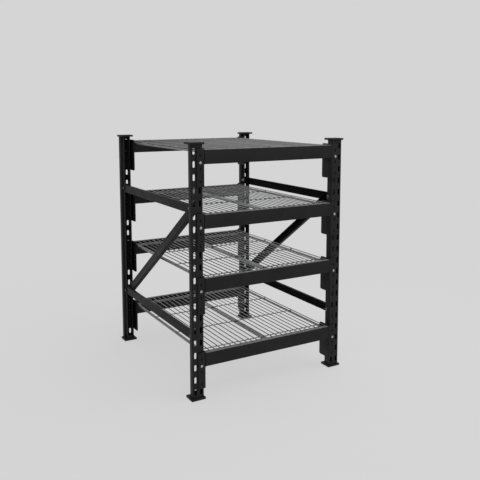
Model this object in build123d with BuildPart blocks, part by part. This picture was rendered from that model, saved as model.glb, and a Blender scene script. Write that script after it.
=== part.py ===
"""Boltless wire shelving rack.

Four slotted omega uprights stand in two braced end frames. Angle connectors on the ends of eight
stepped beams hook into the uprights' slots, and four welded wire decks lie in the beams' steps.
X runs along the beams, Y from the front to the rear, Z up. The origin is on the floor, under the
middle of the rack. Sizes are in millimetres.
"""

import os
from math import hypot

from build123d import *

os.makedirs("parts", exist_ok=True)

# Whole rack
rack_width = 720.0  # over the uprights' outer sides
rack_depth = 800.0  # over the uprights' webs

# Slots, counted from the bottom of each upright, and the slot that each shelf level hangs on
slot_pitch = 50.0
slot_gauge = 25.0  # between an upright's two columns of slots
slot_width = 9.0
slot_height = 25.0
slot_corner = 2.4  # cut off each corner of a slot
level_slots = (2, 8, 13, 18)
slots_above_top_level = 1

# Uprights: a web, two flanges, a step inwards and a narrower neck with an open mouth
post_width = 50.0
post_depth = 44.0
post_wall = 2.0
shoulder_depth = 24.0  # from the web's face to the step
neck_width = 30.0
post_bend_radius = 3.0

# Foot and cap plates
plate_thickness = 8.0
plate_margin = 5.5  # past the upright on every side

# Connectors: an angle with one leg on the upright's web and one beside the upright
connector_thickness = 4.0
connector_above = 60.0  # from the level's slot to the connector's top
connector_below = 88.0
connector_corner = 5.0
front_leg_width = 34.0
side_leg_depth = 65.0
connector_side_gap = 3.0  # between the side leg and the upright
window_width = 6.0
window_height = 11.0

# Claws on the connectors, one for each of three slots
claw_offsets = (-1, 0, 1)  # in slots, from the level's own slot
claw_width = 4.0
claw_neck_height = 10.0
claw_drop = 8.0  # how far a claw hangs below the slot's lower end
claw_tip_thickness = 3.5
claw_gap = 0.3  # between the claw's tip and the back of the web

# Lock bolts
lock_rise = 5.5  # above the level's slot centre
lock_shank_diameter = 6.0
lock_head_across = 10.0
lock_head_height = 4.0
lock_reach = 6.0  # behind the web
lock_clearance = 0.2  # around the shank

# Beams: a closed tube with a ledge along the outside and a step behind it for the deck
beam_height = 56.0
beam_depth = 60.0
beam_wall = 1.5
beam_drop = 1.0  # from the level's slot centre down to the beam's underside
ledge_width = 20.0
step_drop = 15.0

# Wire decks
wire_diameter = 4.0
wire_pitch = 25.0
deck_recess = 0.7  # from the beam's top down to the wires' tops
deck_side_gap = 1.0
deck_end_gap = 1.0
cross_wire_count = 4
cross_wire_inset = 38.0  # from the deck's end to the first cross wire
centre_channel_width = 24.0
side_rail_width = 12.0
side_rail_inset = 1.0
rail_wall = 1.5

# Frame braces: channels that lie side by side in the uprights' mouths
brace_height = 35.0
brace_wall = 1.5
brace_low_rise = 246.0  # from the foot plate's top to the lower bolts
brace_high_rise = 753.0
brace_end_margin = 13.0  # from a bolt to the brace's end
brace_bolt_setback = 33.0  # from the web's face to the bolts
upper_brace_drop = 3.0  # from the upper bolts down to the upper brace's middle
diagonal_lift = 6.5  # from its upper bolt up to the diagonal's middle
diagonal_depth = 19.0  # of the diagonal's flanges, which are cut back at its ends
diagonal_clearance = 6.0  # from the uprights to the flanges' full depth

# Brace bolts and nuts
bolt_diameter = 8.0  # across the flats of the sides that stand for a round shank
round_sides = 6
bolt_clearance = 0.75  # around the shank
bolt_head_across = 13.0
bolt_head_height = 5.3
nut_height = 6.5
bolt_tail = 2.0  # past the nut

# Places worked out from the sizes above
slot_count = level_slots[-1] + 1 + slots_above_top_level
post_length = slot_count * slot_pitch
post_x = (rack_width - post_width) / 2
web_y = -rack_depth / 2
slot_x = post_x - slot_gauge / 2
connector_x = rack_width / 2 - post_width - connector_side_gap - connector_thickness
face_y = web_y - connector_thickness
step_y = face_y + ledge_width
deck_width = 2 * (connector_x - deck_side_gap)
deck_length = 2 * (-step_y - deck_end_gap)
rail_height = step_drop - deck_recess - 2 * wire_diameter
mouth_width = neck_width - 2 * post_wall
outer_x = post_x + mouth_width / 2
brace_depth = mouth_width / 2  # where two braces share a mouth
brace_bolt_y = web_y + brace_bolt_setback
brace_low_z = plate_thickness + brace_low_rise
brace_high_z = plate_thickness + brace_high_rise

CORNERS = {
    "front_left": (True, False),
    "front_right": (False, False),
    "rear_left": (True, True),
    "rear_right": (False, True),
}


def slot_z(slot):
    """Height of a slot's centre."""
    return plate_thickness + (slot + 0.5) * slot_pitch


def mirrored(piece, to_left=False, to_rear=False):
    """A piece made for the front right corner, mirrored to another corner."""
    if to_left:
        piece = mirror(piece, about=Plane.YZ)
    if to_rear:
        piece = mirror(piece, about=Plane.XZ)
    return piece


def write(piece, name):
    """Label a finished piece and write its STEP file."""
    piece.label = name
    export_step(piece, f"parts/{name}.step")


def round_profile(diameter, mode=Mode.ADD):
    """Few-sided profile of a small round bolt or hole, its flats a diameter apart."""
    RegularPolygon(diameter / 2, round_sides, major_radius=False, mode=mode)


def upright():
    """Front right upright: omega section, two columns of slots, bolt holes through the neck."""
    with BuildPart() as post:
        with BuildSketch(Plane.XY.offset(plate_thickness)) as section:
            with Locations((post_x, web_y)):
                Rectangle(post_width, shoulder_depth, align=(Align.CENTER, Align.MIN))
                Rectangle(neck_width, post_depth, align=(Align.CENTER, Align.MIN))
            with Locations((post_x, web_y + post_wall)):
                Rectangle(
                    post_width - 2 * post_wall,
                    shoulder_depth - 2 * post_wall,
                    align=(Align.CENTER, Align.MIN),
                    mode=Mode.SUBTRACT,
                )
                Rectangle(mouth_width, post_depth, align=(Align.CENTER, Align.MIN), mode=Mode.SUBTRACT)
            fillet(section.vertices().group_by(Axis.Y)[0], post_bend_radius)
        extrude(amount=post_length)
        with BuildSketch(Plane.XZ.offset(-web_y)) as slots:
            with Locations((post_x, plate_thickness + post_length / 2)):
                with GridLocations(slot_gauge, slot_pitch, 2, slot_count):
                    Rectangle(slot_width, slot_height)
            chamfer(slots.vertices(), slot_corner)
        extrude(amount=-post_wall, mode=Mode.SUBTRACT)
        with BuildSketch(Plane.YZ.offset(post_x)):
            with Locations((brace_bolt_y, brace_low_z), (brace_bolt_y, brace_high_z)):
                round_profile(bolt_diameter + 2 * bolt_clearance)
        extrude(amount=neck_width / 2, both=True, mode=Mode.SUBTRACT)
    return post.part


def end_plate(bottom):
    """Plain plate across an end of the front right upright."""
    with BuildPart() as plate:
        with BuildSketch(Plane.XY.offset(bottom)):
            with Locations((post_x, web_y + post_depth / 2)):
                Rectangle(post_width + 2 * plate_margin, post_depth + 2 * plate_margin)
        extrude(amount=plate_thickness)
    return plate.part


def connector(level_z):
    """Front right connector: a corner angle with three windows, three claws and a lock bolt hole."""
    bottom = level_z - connector_below
    height = connector_above + connector_below
    middle = bottom + height / 2
    claw_heights = [level_z + offset * slot_pitch - slot_height / 2 for offset in claw_offsets]
    claw_root = post_wall + claw_gap

    with BuildPart() as angle:
        with BuildSketch(Plane.XZ.offset(-web_y)):
            with Locations((connector_x + front_leg_width / 2, middle)):
                Rectangle(front_leg_width, height)
        extrude(amount=connector_thickness)
        with BuildSketch(Plane.YZ.offset(connector_x)):
            with Locations((face_y + side_leg_depth / 2, middle)):
                Rectangle(side_leg_depth, height)
        extrude(amount=connector_thickness)

        front_edges = angle.edges().filter_by(Axis.Y).filter_by_position(
            Axis.X, connector_x + front_leg_width, connector_x + front_leg_width
        )
        side_edges = angle.edges().filter_by(Axis.X).filter_by_position(
            Axis.Y, face_y + side_leg_depth, face_y + side_leg_depth
        )
        chamfer(front_edges + side_edges, connector_corner)

        with BuildSketch(Plane.XZ.offset(-web_y)):
            with Locations(*[(slot_x, seat) for seat in claw_heights]):
                Rectangle(window_width, window_height, align=(Align.CENTER, Align.MAX))
            with Locations((slot_x, level_z + lock_rise)):
                round_profile(lock_shank_diameter + 2 * lock_clearance)
        extrude(amount=connector_thickness, mode=Mode.SUBTRACT)

        with BuildSketch(Plane.YZ.offset(slot_x)):
            for seat in claw_heights:
                with Locations((web_y, seat)):
                    Rectangle(claw_root + claw_tip_thickness, claw_neck_height, align=Align.MIN)
                with Locations((web_y + claw_root, seat)):
                    Rectangle(claw_tip_thickness, claw_drop, align=(Align.MIN, Align.MAX))
        extrude(amount=claw_width / 2, both=True)
    return angle.part


def lock_bolts():
    """The front right upright's lock bolts, each with its head on a connector's face."""
    with BuildPart() as bolts:
        for slot in level_slots:
            with BuildSketch(Plane.XZ.offset(-face_y)):
                with Locations((slot_x, slot_z(slot) + lock_rise)):
                    RegularPolygon(lock_head_across / 2, 6, major_radius=False)
            extrude(amount=lock_head_height)
            with BuildSketch(Plane.XZ.offset(-face_y)):
                with Locations((slot_x, slot_z(slot) + lock_rise)):
                    round_profile(lock_shank_diameter)
            extrude(amount=-connector_thickness - post_wall - lock_reach)
    return bolts.part


def beam(level_z):
    """Front beam: closed tube with a ledge along the front and a step behind it."""
    bottom = level_z - beam_drop
    with BuildPart() as tube:
        with BuildSketch(Plane.YZ):
            with Locations((face_y, bottom)):
                Rectangle(beam_depth, beam_height, align=Align.MIN)
            with Locations((step_y, bottom + beam_height)):
                Rectangle(beam_depth - ledge_width, step_drop, align=(Align.MIN, Align.MAX), mode=Mode.SUBTRACT)
            offset(amount=-beam_wall, kind=Kind.INTERSECTION, mode=Mode.SUBTRACT)
        extrude(amount=connector_x, both=True)
    return tube.part


def wire_profile():
    """Six-sided wire with flats above and below, so that crossing wires meet face to face."""
    RegularPolygon(wire_diameter / 2, 6, major_radius=False)


def deck_mesh(beam_top):
    """Welded wires: long ones from front to rear, lying on a few cross wires."""
    long_wire_z = beam_top - deck_recess - wire_diameter / 2
    cross_wire_z = long_wire_z - wire_diameter
    long_wire_count = 1 + int((deck_width - wire_diameter) // wire_pitch)
    cross_wire_pitch = (deck_length - 2 * cross_wire_inset) / (cross_wire_count - 1)
    with BuildPart() as long_wires:
        with BuildSketch(Plane.XZ):
            with Locations((0, long_wire_z)):
                with GridLocations(wire_pitch, 1, long_wire_count, 1):
                    wire_profile()
        extrude(amount=deck_length / 2, both=True)
    with BuildPart() as cross_wires:
        with BuildSketch(Plane.YZ):
            with Locations((0, cross_wire_z)):
                with GridLocations(cross_wire_pitch, 1, cross_wire_count, 1):
                    wire_profile()
        extrude(amount=deck_width / 2, both=True)
    return Compound([*long_wires.solids(), *cross_wires.solids()])


def deck_channels(beam_top):
    """Three channels, open below, that carry a deck's wires and rest on the beams' steps."""
    bottom = beam_top - step_drop
    side_rail_x = deck_width / 2 - side_rail_inset - side_rail_width / 2
    rails = ((0, centre_channel_width), (-side_rail_x, side_rail_width), (side_rail_x, side_rail_width))
    with BuildPart() as channels:
        with BuildSketch(Plane.XZ):
            for x, width in rails:
                with Locations((x, bottom)):
                    Rectangle(width, rail_height, align=(Align.CENTER, Align.MIN))
                    Rectangle(
                        width - 2 * rail_wall,
                        rail_height - rail_wall,
                        align=(Align.CENTER, Align.MIN),
                        mode=Mode.SUBTRACT,
                    )
        extrude(amount=deck_length / 2, both=True)
    return channels.part


def brace(start, end, bolts, web_x, depth=brace_depth):
    """Right frame brace along a line given as (y, z): a channel, its web outwards, bolted twice."""
    run = end[0] - start[0]
    rise = end[1] - start[1]
    half_length = hypot(run, rise) / 2
    middle = Vector(web_x, (start[0] + end[0]) / 2, (start[1] + end[1]) / 2)
    side = Plane(origin=middle, x_dir=(0, run, rise), z_dir=(1, 0, 0))
    with BuildPart() as channel:
        with BuildSketch(side):
            Rectangle(2 * (half_length + brace_end_margin), brace_height)
        extrude(amount=-depth)
        with BuildSketch(side.offset(-brace_wall)):
            Rectangle(2 * (half_length + brace_end_margin), brace_height - 2 * brace_wall)
        extrude(amount=-depth, mode=Mode.SUBTRACT)
        with BuildSketch(Plane.YZ.offset(web_x)):
            with Locations(*bolts):
                round_profile(bolt_diameter + 2 * bolt_clearance)
        extrude(amount=-brace_wall, mode=Mode.SUBTRACT)
    return channel.part


def level_brace(bolt_z, middle_z):
    """Right frame's horizontal brace, outermost in the uprights' mouths."""
    ends = [(y, middle_z) for y in (brace_bolt_y, -brace_bolt_y)]
    bolts = [(y, bolt_z) for y in (brace_bolt_y, -brace_bolt_y)]
    return brace(*ends, bolts, outer_x)


def diagonal_brace():
    """Right frame's diagonal: a deeper channel whose flanges are cut back to enter the mouths."""
    front, rear = (brace_bolt_y, brace_high_z), (-brace_bolt_y, brace_low_z)
    start = (brace_bolt_y, brace_high_z + diagonal_lift)
    with BuildPart() as channel:
        add(brace(start, rear, [front, rear], outer_x - brace_depth, diagonal_depth))
        with BuildSketch(Plane.YZ.offset(outer_x - 2 * brace_depth)):
            with Locations((web_y, 0), (-web_y, 0)):
                Rectangle(
                    2 * (post_depth + diagonal_clearance),
                    plate_thickness + post_length,
                    align=(Align.CENTER, Align.MIN),
                )
        extrude(amount=-diagonal_depth, mode=Mode.SUBTRACT)
    return channel.part


def at_brace_bolts():
    """Places of the right frame's four brace bolts on a plane across X."""
    heights = (brace_low_z, brace_high_z)
    return Locations(*[(y, z) for y in (brace_bolt_y, -brace_bolt_y) for z in heights])


def brace_bolts():
    """The right frame's bolts: hexagon heads on the necks' outer sides, shanks through the mouths."""
    shank_length = neck_width + nut_height + bolt_tail
    with BuildPart() as bolts:
        with BuildSketch(Plane.YZ.offset(post_x + neck_width / 2)):
            with at_brace_bolts():
                RegularPolygon(bolt_head_across / 2, 6, major_radius=False)
        extrude(amount=bolt_head_height)
        with BuildSketch(Plane.YZ.offset(post_x + neck_width / 2)):
            with at_brace_bolts():
                round_profile(bolt_diameter)
        extrude(amount=-shank_length)
    return bolts.part


def brace_nuts():
    """The right frame's nuts, on the necks' inner sides."""
    with BuildPart() as nuts:
        with BuildSketch(Plane.YZ.offset(post_x - neck_width / 2)):
            with at_brace_bolts():
                RegularPolygon(bolt_head_across / 2, 6, major_radius=False)
                round_profile(bolt_diameter, mode=Mode.SUBTRACT)
        extrude(amount=-nut_height)
    return nuts.part


# Uprights with their plates and lock bolts
for corner, (to_left, to_rear) in CORNERS.items():
    write(mirrored(upright(), to_left, to_rear), f"post_{corner}")
    write(mirrored(end_plate(0), to_left, to_rear), f"foot_plate_{corner}")
    write(mirrored(end_plate(plate_thickness + post_length), to_left, to_rear), f"top_cap_{corner}")
    write(mirrored(lock_bolts(), to_left, to_rear), f"lock_bolts_{corner}")

# Beams, connectors and decks of each level
for number, slot in enumerate(level_slots, start=1):
    level_z = slot_z(slot)
    beam_top = level_z - beam_drop + beam_height
    write(beam(level_z), f"beam_front_{number}")
    write(mirrored(beam(level_z), to_rear=True), f"beam_rear_{number}")
    for corner, (to_left, to_rear) in CORNERS.items():
        write(mirrored(connector(level_z), to_left, to_rear), f"connector_{corner}_{number}")
    write(deck_mesh(beam_top), f"deck_mesh_{number}")
    write(deck_channels(beam_top), f"deck_channels_{number}")

# End frames' braces, the horizontal ones outermost in the mouths and the diagonal beside them
for frame, to_left in (("left", True), ("right", False)):
    write(mirrored(level_brace(brace_low_z, brace_low_z), to_left), f"brace_{frame}_lower")
    write(mirrored(level_brace(brace_high_z, brace_high_z - upper_brace_drop), to_left), f"brace_{frame}_upper")
    write(mirrored(diagonal_brace(), to_left), f"brace_{frame}_diagonal")
    write(mirrored(brace_bolts(), to_left), f"brace_bolts_{frame}")
    write(mirrored(brace_nuts(), to_left), f"brace_nuts_{frame}")
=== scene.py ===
"""Wire shelving rack: the finished look of every piece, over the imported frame."""

import math

import bmesh
import bpy
from mathutils import Matrix, Vector


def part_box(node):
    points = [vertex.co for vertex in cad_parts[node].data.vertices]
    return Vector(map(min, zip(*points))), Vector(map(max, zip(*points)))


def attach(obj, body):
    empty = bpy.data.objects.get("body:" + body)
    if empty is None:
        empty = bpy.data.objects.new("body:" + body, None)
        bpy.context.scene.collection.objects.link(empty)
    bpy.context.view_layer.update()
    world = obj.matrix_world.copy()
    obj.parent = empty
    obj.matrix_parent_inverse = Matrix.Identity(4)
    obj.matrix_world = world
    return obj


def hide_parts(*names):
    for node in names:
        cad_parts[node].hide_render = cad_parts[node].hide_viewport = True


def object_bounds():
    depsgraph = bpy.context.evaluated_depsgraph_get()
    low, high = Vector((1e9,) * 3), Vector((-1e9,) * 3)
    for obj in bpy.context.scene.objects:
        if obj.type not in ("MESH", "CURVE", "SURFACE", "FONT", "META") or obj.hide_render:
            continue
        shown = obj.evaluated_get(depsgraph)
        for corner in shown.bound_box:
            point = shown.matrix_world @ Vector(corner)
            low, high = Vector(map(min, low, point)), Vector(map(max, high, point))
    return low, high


bl_info = {
    "name": "Wire Shelving Rack",
    "version": (1, 0, 0),
    "blender": (4, 5, 0),
    "location": "3D View > Sidebar > Rack",
    "description": "Dresses a boltless rack of slotted uprights, stepped beams and wire decks",
    "category": "Object",
}

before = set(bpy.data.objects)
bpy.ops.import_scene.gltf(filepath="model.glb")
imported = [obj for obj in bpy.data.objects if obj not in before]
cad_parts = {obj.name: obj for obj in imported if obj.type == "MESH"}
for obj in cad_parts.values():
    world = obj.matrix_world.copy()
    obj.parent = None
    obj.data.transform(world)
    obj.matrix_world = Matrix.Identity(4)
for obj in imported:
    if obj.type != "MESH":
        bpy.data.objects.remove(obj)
CAD_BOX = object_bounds()

SIDES = {"left": -1, "right": 1}
ENDS = {"front": 1, "rear": -1}
CORNERS = [(end, side) for end in ENDS for side in SIDES]
LEVELS = (1, 2, 3, 4)
RACK_BODY, BLACK = "frame", "black_powder_coat"
TONE, TONE_SEED = "wire_tone", 7
QUARTER = math.pi / 2
SHARP_BEND, SMOOTH_BEND = math.radians(40), math.radians(28)
X, Y, Z = Vector((1, 0, 0)), Vector((0, 1, 0)), Vector((0, 0, 1))


# Sizes and finishes that a user would change


def length(name, description, default):
    """A size in metres, shown in scene units."""
    limits = {"min": 0.0, "precision": 4, "unit": "LENGTH", "subtype": "DISTANCE"}
    return bpy.props.FloatProperty(name=name, description=description, default=default, **limits)


def colour(name, description, default):
    """A plain colour, in linear light."""
    limits = {"min": 0.0, "max": 1.0, "size": 3, "subtype": "COLOR"}
    return bpy.props.FloatVectorProperty(name=name, description=description, default=default, **limits)


def share(name, description, default):
    """A number from 0 to 1."""
    limits = {"min": 0.0, "max": 1.0, "subtype": "FACTOR"}
    return bpy.props.FloatProperty(name=name, description=description, default=default, **limits)


class UprightSizes(bpy.types.PropertyGroup):
    """Rolled section and slots of the uprights."""

    wall: length("Wall", "Thickness of the rolled sheet", 0.002)
    shoulder: length("Shoulder Depth", "From the web's face to the step in the flanges", 0.024)
    neck: length("Neck Width", "Over the narrow part behind the step", 0.030)
    bend: length("Bend Radius", "Inside radius of the rolled corners", 0.0015)
    slot_width: length("Slot Width", "Across one slot", 0.009)
    slot_height: length("Slot Height", "From end to end of one slot", 0.025)
    slot_pitch: length("Slot Pitch", "From slot to slot up a column", 0.050)
    slot_gauge: length("Slot Gauge", "Between the two columns of slots", 0.025)


class PlateSizes(bpy.types.PropertyGroup):
    """Plates under the feet and on the heads of the uprights."""

    corner: length("Corner Radius", "At the corners of every plate", 0.0015)
    upstand: length("Upstand", "How far a foot plate's upstand rises in the upright's mouth", 0.014)
    upstand_wall: length("Upstand Wall", "Thickness of the upstand", 0.003)
    upstand_inset: length("Upstand Inset", "From the end of the upright's flanges to the upstand", 0.002)
    upstand_gap: length("Upstand Gap", "Between the upstand and the flanges beside it", 0.0002)


class ConnectorSizes(bpy.types.PropertyGroup):
    """Angle connectors on the ends of the beams."""

    thickness: length("Plate", "Thickness of the connector's plate", 0.004)
    bend: length("Bend Radius", "Inside radius of the fold between the two legs", 0.0015)
    corner: length("Corner Radius", "At the free corners of both legs", 0.007)
    above: length("Rise", "From the level's slot centre to the top", 0.060)
    window_width: length("Window Width", "Across one punched window", 0.006)
    window_height: length("Window Height", "Along one punched window", 0.011)
    claw_width: length("Claw Width", "Thickness of a claw, seen from the front", 0.004)
    claw_neck: length("Claw Neck", "Height of the part of a claw that passes through the slot", 0.010)
    claw_drop: length("Claw Drop", "How far a claw hangs behind the web, under its seat", 0.008)
    claw_tip: length("Claw Tip", "Thickness of the claw behind the web", 0.0035)
    claw_gap: length("Claw Gap", "Between a claw's tip and the web", 0.0003)
    claw_root: length("Claw Root", "How far a claw is sunk into the connector's plate", 0.001)
    weld: length("Weld Bead", "Width of the bead between a beam and its connector", 0.0034)


class BeamSizes(bpy.types.PropertyGroup):
    """Stepped shelf beams."""

    ledge: length("Ledge", "Width of the ledge in front of the deck", 0.020)
    step: length("Step", "From the ledge down to the deck's seat", 0.015)
    bend: length("Corner Radius", "Outside radius of the rolled corners", 0.003)


class DeckSizes(bpy.types.PropertyGroup):
    """Welded wires and the channels under them."""

    wire: length("Wire", "Diameter of every wire", 0.004)
    pitch: length("Wire Pitch", "Between neighbouring long wires", 0.025)
    cross_inset: length("Cross Wire Inset", "From the deck's end to the first cross wire", 0.038)
    weld: length("Weld Spot", "Width of the melted spot where two wires cross", 0.0054)
    channel_wall: length("Channel Wall", "Thickness of the folded channels", 0.0015)
    channel_bend: length("Channel Bend", "Inside radius of the channels' folds", 0.0008)
    centre_channel: length("Centre Channel", "Width of the channel under the middle", 0.024)
    side_rail: length("Side Rail", "Width of the channels along the two sides", 0.012)


class BraceSizes(bpy.types.PropertyGroup):
    """Channels that brace the two end frames."""

    height: length("Height", "Across the web of a brace", 0.035)
    wall: length("Wall", "Thickness of the folded sheet", 0.0015)
    bend: length("Bend Radius", "Inside radius of the folds", 0.0015)
    clearance: length("Clearance", "From the uprights to the diagonals' full depth", 0.006)
    cut_corner: length("Cut Corner", "Radius where a diagonal's flanges are cut back", 0.002)
    softness: length("Edge Softness", "Width of the small bevel on the braces' edges", 0.0003)
    spacer: length("Spacer", "Length of the short channels beside the ends that no diagonal reaches", 0.026)
    spacer_rise: length("Spacer Rise", "From the middle of a level brace up to a spacer's middle", 0.004)
    spacer_gap: length("Spacer Gap", "Between a spacer and the side of the upright's mouth", 0.0002)


class FastenerSizes(bpy.types.PropertyGroup):
    """Lock bolts, brace bolts and nuts."""

    lock_rise: length("Lock Bolt Rise", "From the level's slot centre up to the lock bolt", 0.0055)
    lock_across: length("Lock Bolt Head", "Across the flats of a lock bolt's head", 0.010)
    lock_shank: length("Lock Bolt Shank", "Diameter of a lock bolt's shank", 0.006)
    lock_head: length("Lock Bolt Head Height", "Height of a lock bolt's head", 0.004)
    bolt_across: length("Bolt Head", "Across the flats of a brace bolt's head and nut", 0.013)
    bolt_shank: length("Bolt Shank", "Diameter of a brace bolt's shank", 0.008)
    bolt_head: length("Bolt Head Height", "Height of a brace bolt's head", 0.0053)
    nut: length("Nut Height", "Height of a brace nut", 0.0065)
    nut_shank: length("Nut Shank", "How far the shank inside a nut reaches behind it", 0.001)


class RackFinish(bpy.types.PropertyGroup):
    """Colours of the coats and metals."""

    softness: length("Edge Softness", "Width of the small bevel on cut and rolled edges", 0.0005)
    coat: colour("Powder Coat", "Black powder coat of the frame", (0.0048, 0.0049, 0.0052))
    # The upward faces' lighter colour is partly rubbed wear and partly a painted sheen of the light from
    # above.
    scuff_and_sheen: colour("Scuffed Coat And Painted Sheen", "Lighter coat on the upward faces: rubbed wear with a painted sheen of the light from above", (0.2, 0.202, 0.206))
    wire: colour("Deck Wire", "Galvanised wires of the decks", (0.246, 0.249, 0.253))
    # Painted light: this colour is lifted against the shade of the wires over the middle channel, and the
    # side rails get only a darker share of it.
    channel: colour("Deck Channel", "Galvanised channels under the decks", (0.42, 0.424, 0.43))
    zinc: colour("Zinc Plate", "Bright zinc on the lock bolts and nuts", (0.44, 0.446, 0.455))
    # The brace bolts get a darker zinc colour than the lock bolts and nuts.
    darker_zinc: colour("Darker Zinc", "Darkened zinc on the brace bolts", (0.12, 0.122, 0.125))
    coat_roughness: share("Coat Roughness", "Roughness of the powder coat", 0.58)
    coat_specular: share("Coat Specular", "Specular level of the powder coat", 0.3)
    wire_roughness: share("Wire Roughness", "Roughness of the galvanised wires", 0.42)
    channel_roughness: share("Channel Roughness", "Roughness of the galvanised channels", 0.4)


class StageSettings(bpy.types.PropertyGroup):
    """Floor, backdrop and light."""

    backdrop: colour("Backdrop", "Grey of the backdrop and the far floor", (0.665, 0.665, 0.665))
    floor: colour("Floor", "Pale floor under the rack", (0.66, 0.66, 0.66))
    clean_floor: share("Clean Floor", "Share of the backdrop's even grey in the floor by the rack", 0.8)
    sky: bpy.props.FloatProperty(name="Sky", description="Strength of the light from all round", default=0.75)
    top: bpy.props.FloatProperty(
        name="Top Light", description="Power of the large lamp overhead", default=45.0, unit="POWER"
    )


# Outlines, in two dimensions


def arc(corner, before, after, radius, steps=6):
    """Points of the arc that rounds one corner of an outline."""
    to_before = (before - corner).normalized()
    to_after = (after - corner).normalized()
    half_angle = to_before.angle(to_after) / 2
    centre = corner + (to_before + to_after).normalized() * radius / math.sin(half_angle)
    start = corner + to_before * radius / math.tan(half_angle) - centre
    end = corner + to_after * radius / math.tan(half_angle) - centre
    first = math.atan2(start.y, start.x)
    turn = math.atan2(end.y, end.x) - first
    turn -= 2 * math.pi * round(turn / (2 * math.pi))
    angles = [first + turn * step / steps for step in range(steps + 1)]
    return [centre + Vector((math.cos(angle), math.sin(angle))) * radius for angle in angles]


def rounded(corners):
    """Closed outline through corners given as (x, y, radius)."""
    places = [Vector((x, y)) for x, y, _ in corners]
    points = []
    for index, (_, _, radius) in enumerate(corners):
        if radius > 0:
            following = places[(index + 1) % len(places)]
            points += arc(places[index], places[index - 1], following, radius)
        else:
            points.append(places[index])
    return points


def rectangle(centre_x, centre_y, width, height, radii=(0, 0, 0, 0)):
    """Rectangle with a radius for each corner, anticlockwise from the lower left."""
    left, right = centre_x - width / 2, centre_x + width / 2
    low, high = centre_y - height / 2, centre_y + height / 2
    corners = ((left, low), (right, low), (right, high), (left, high))
    return rounded([(x, y, radius) for (x, y), radius in zip(corners, radii)])


def folded_sheet(path, wall, bend):
    """Outline of a sheet folded along a path of its one face, with the wall on the path's left."""
    points = [Vector(point) for point in path]
    outside, inside = [], []
    for index, point in enumerate(points):
        ahead = points[min(index + 1, len(points) - 1)] - points[min(index, len(points) - 2)]
        behind = points[max(index, 1)] - points[max(index, 1) - 1]
        normals = [Vector((-way.y, way.x)).normalized() for way in (behind, ahead)]
        shift = (normals[0] + normals[1]) / (1 + normals[0].dot(normals[1])) * wall
        turn = behind.cross(ahead)
        at_end = index in (0, len(points) - 1)
        near = 0 if at_end else bend + (wall if turn > 0 else 0)
        far = 0 if at_end else bend + (0 if turn > 0 else wall)
        outside.append((point.x, point.y, near))
        inside.append((point.x + shift.x, point.y + shift.y, far))
    return rounded(outside + inside[::-1])


# Geometry Nodes


def new_tree(name, inputs):
    """Node tree with named inputs and one geometry output."""
    tree = bpy.data.node_groups.new(name, "GeometryNodeTree")
    tree.interface.new_socket(name="Geometry", in_out="INPUT", socket_type="NodeSocketGeometry")
    for label, kind in inputs.items():
        tree.interface.new_socket(name=label, in_out="INPUT", socket_type=f"NodeSocket{kind}")
    tree.interface.new_socket(name="Geometry", in_out="OUTPUT", socket_type="NodeSocketGeometry")
    return tree, tree.nodes.new("NodeGroupInput").outputs


def add_node(tree, kind, sockets=None, **settings):
    """Node of a kind, with its settings made and its sockets given a value or a link."""
    node = tree.nodes.new(kind)
    for setting, value in settings.items():
        setattr(node, setting, value)
    for key, value in (sockets or {}).items():
        socket = node.inputs[key]
        if isinstance(value, bpy.types.NodeSocket):
            tree.links.new(value, socket)
        else:
            socket.default_value = value
    return node.outputs


def math_node(tree, operation, first, second):
    """Result of a sum on one or two sockets."""
    return add_node(tree, "ShaderNodeMath", {0: first, 1: second}, operation=operation)[0]


def times(tree, value, factor):
    """Product of two sockets, or of a socket and a number."""
    return math_node(tree, "MULTIPLY", value, factor)


def spread(tree, count, pitch):
    """Distance from the first to the last of a row."""
    return times(tree, math_node(tree, "SUBTRACT", count, 1), pitch)


def vector_node(tree, x=0.0, y=0.0, z=0.0):
    """Vector from sockets or numbers."""
    return add_node(tree, "ShaderNodeCombineXYZ", {"X": x, "Y": y, "Z": z})[0]


def point_grid(tree, columns, gauge, rows, pitch):
    """Points in columns and rows, centred on the origin."""
    sockets = {
        "Size X": spread(tree, columns, gauge),
        "Size Y": spread(tree, rows, pitch),
        "Vertices X": columns,
        "Vertices Y": rows,
    }
    return add_node(tree, "GeometryNodeMeshGrid", sockets)[0]


def at_points(tree, points, shape):
    """Copy of a shape at every point."""
    return add_node(tree, "GeometryNodeInstanceOnPoints", {"Points": points, "Instance": shape})[0]


def realized(tree, instances):
    """Plain geometry from instances."""
    return add_node(tree, "GeometryNodeRealizeInstances", {"Geometry": instances})[0]


def swept(tree, curve, ring, **sockets):
    """Tube with closed ends along a curve."""
    sockets = {"Curve": curve, "Profile Curve": ring, "Fill Caps": True} | sockets
    return add_node(tree, "GeometryNodeCurveToMesh", sockets)[0]


def circle(tree, sides, radius):
    """Round profile curve."""
    return add_node(tree, "GeometryNodeCurvePrimitiveCircle", {"Resolution": sides, "Radius": radius})[0]


def joined(tree, *geometries):
    """Geometry sockets joined to one."""
    node = tree.nodes.new("GeometryNodeJoinGeometry")
    for geometry in geometries:
        tree.links.new(geometry, node.inputs[0])
    return node.outputs[0]


def finish_tree(tree, geometry, material):
    """End a tree in Realize Instances and Set Material."""
    sockets = {"Geometry": realized(tree, geometry), "Material": material}
    coated = add_node(tree, "GeometryNodeSetMaterial", sockets)[0]
    add_node(tree, "NodeGroupOutput", {0: coated})
    return tree


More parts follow.
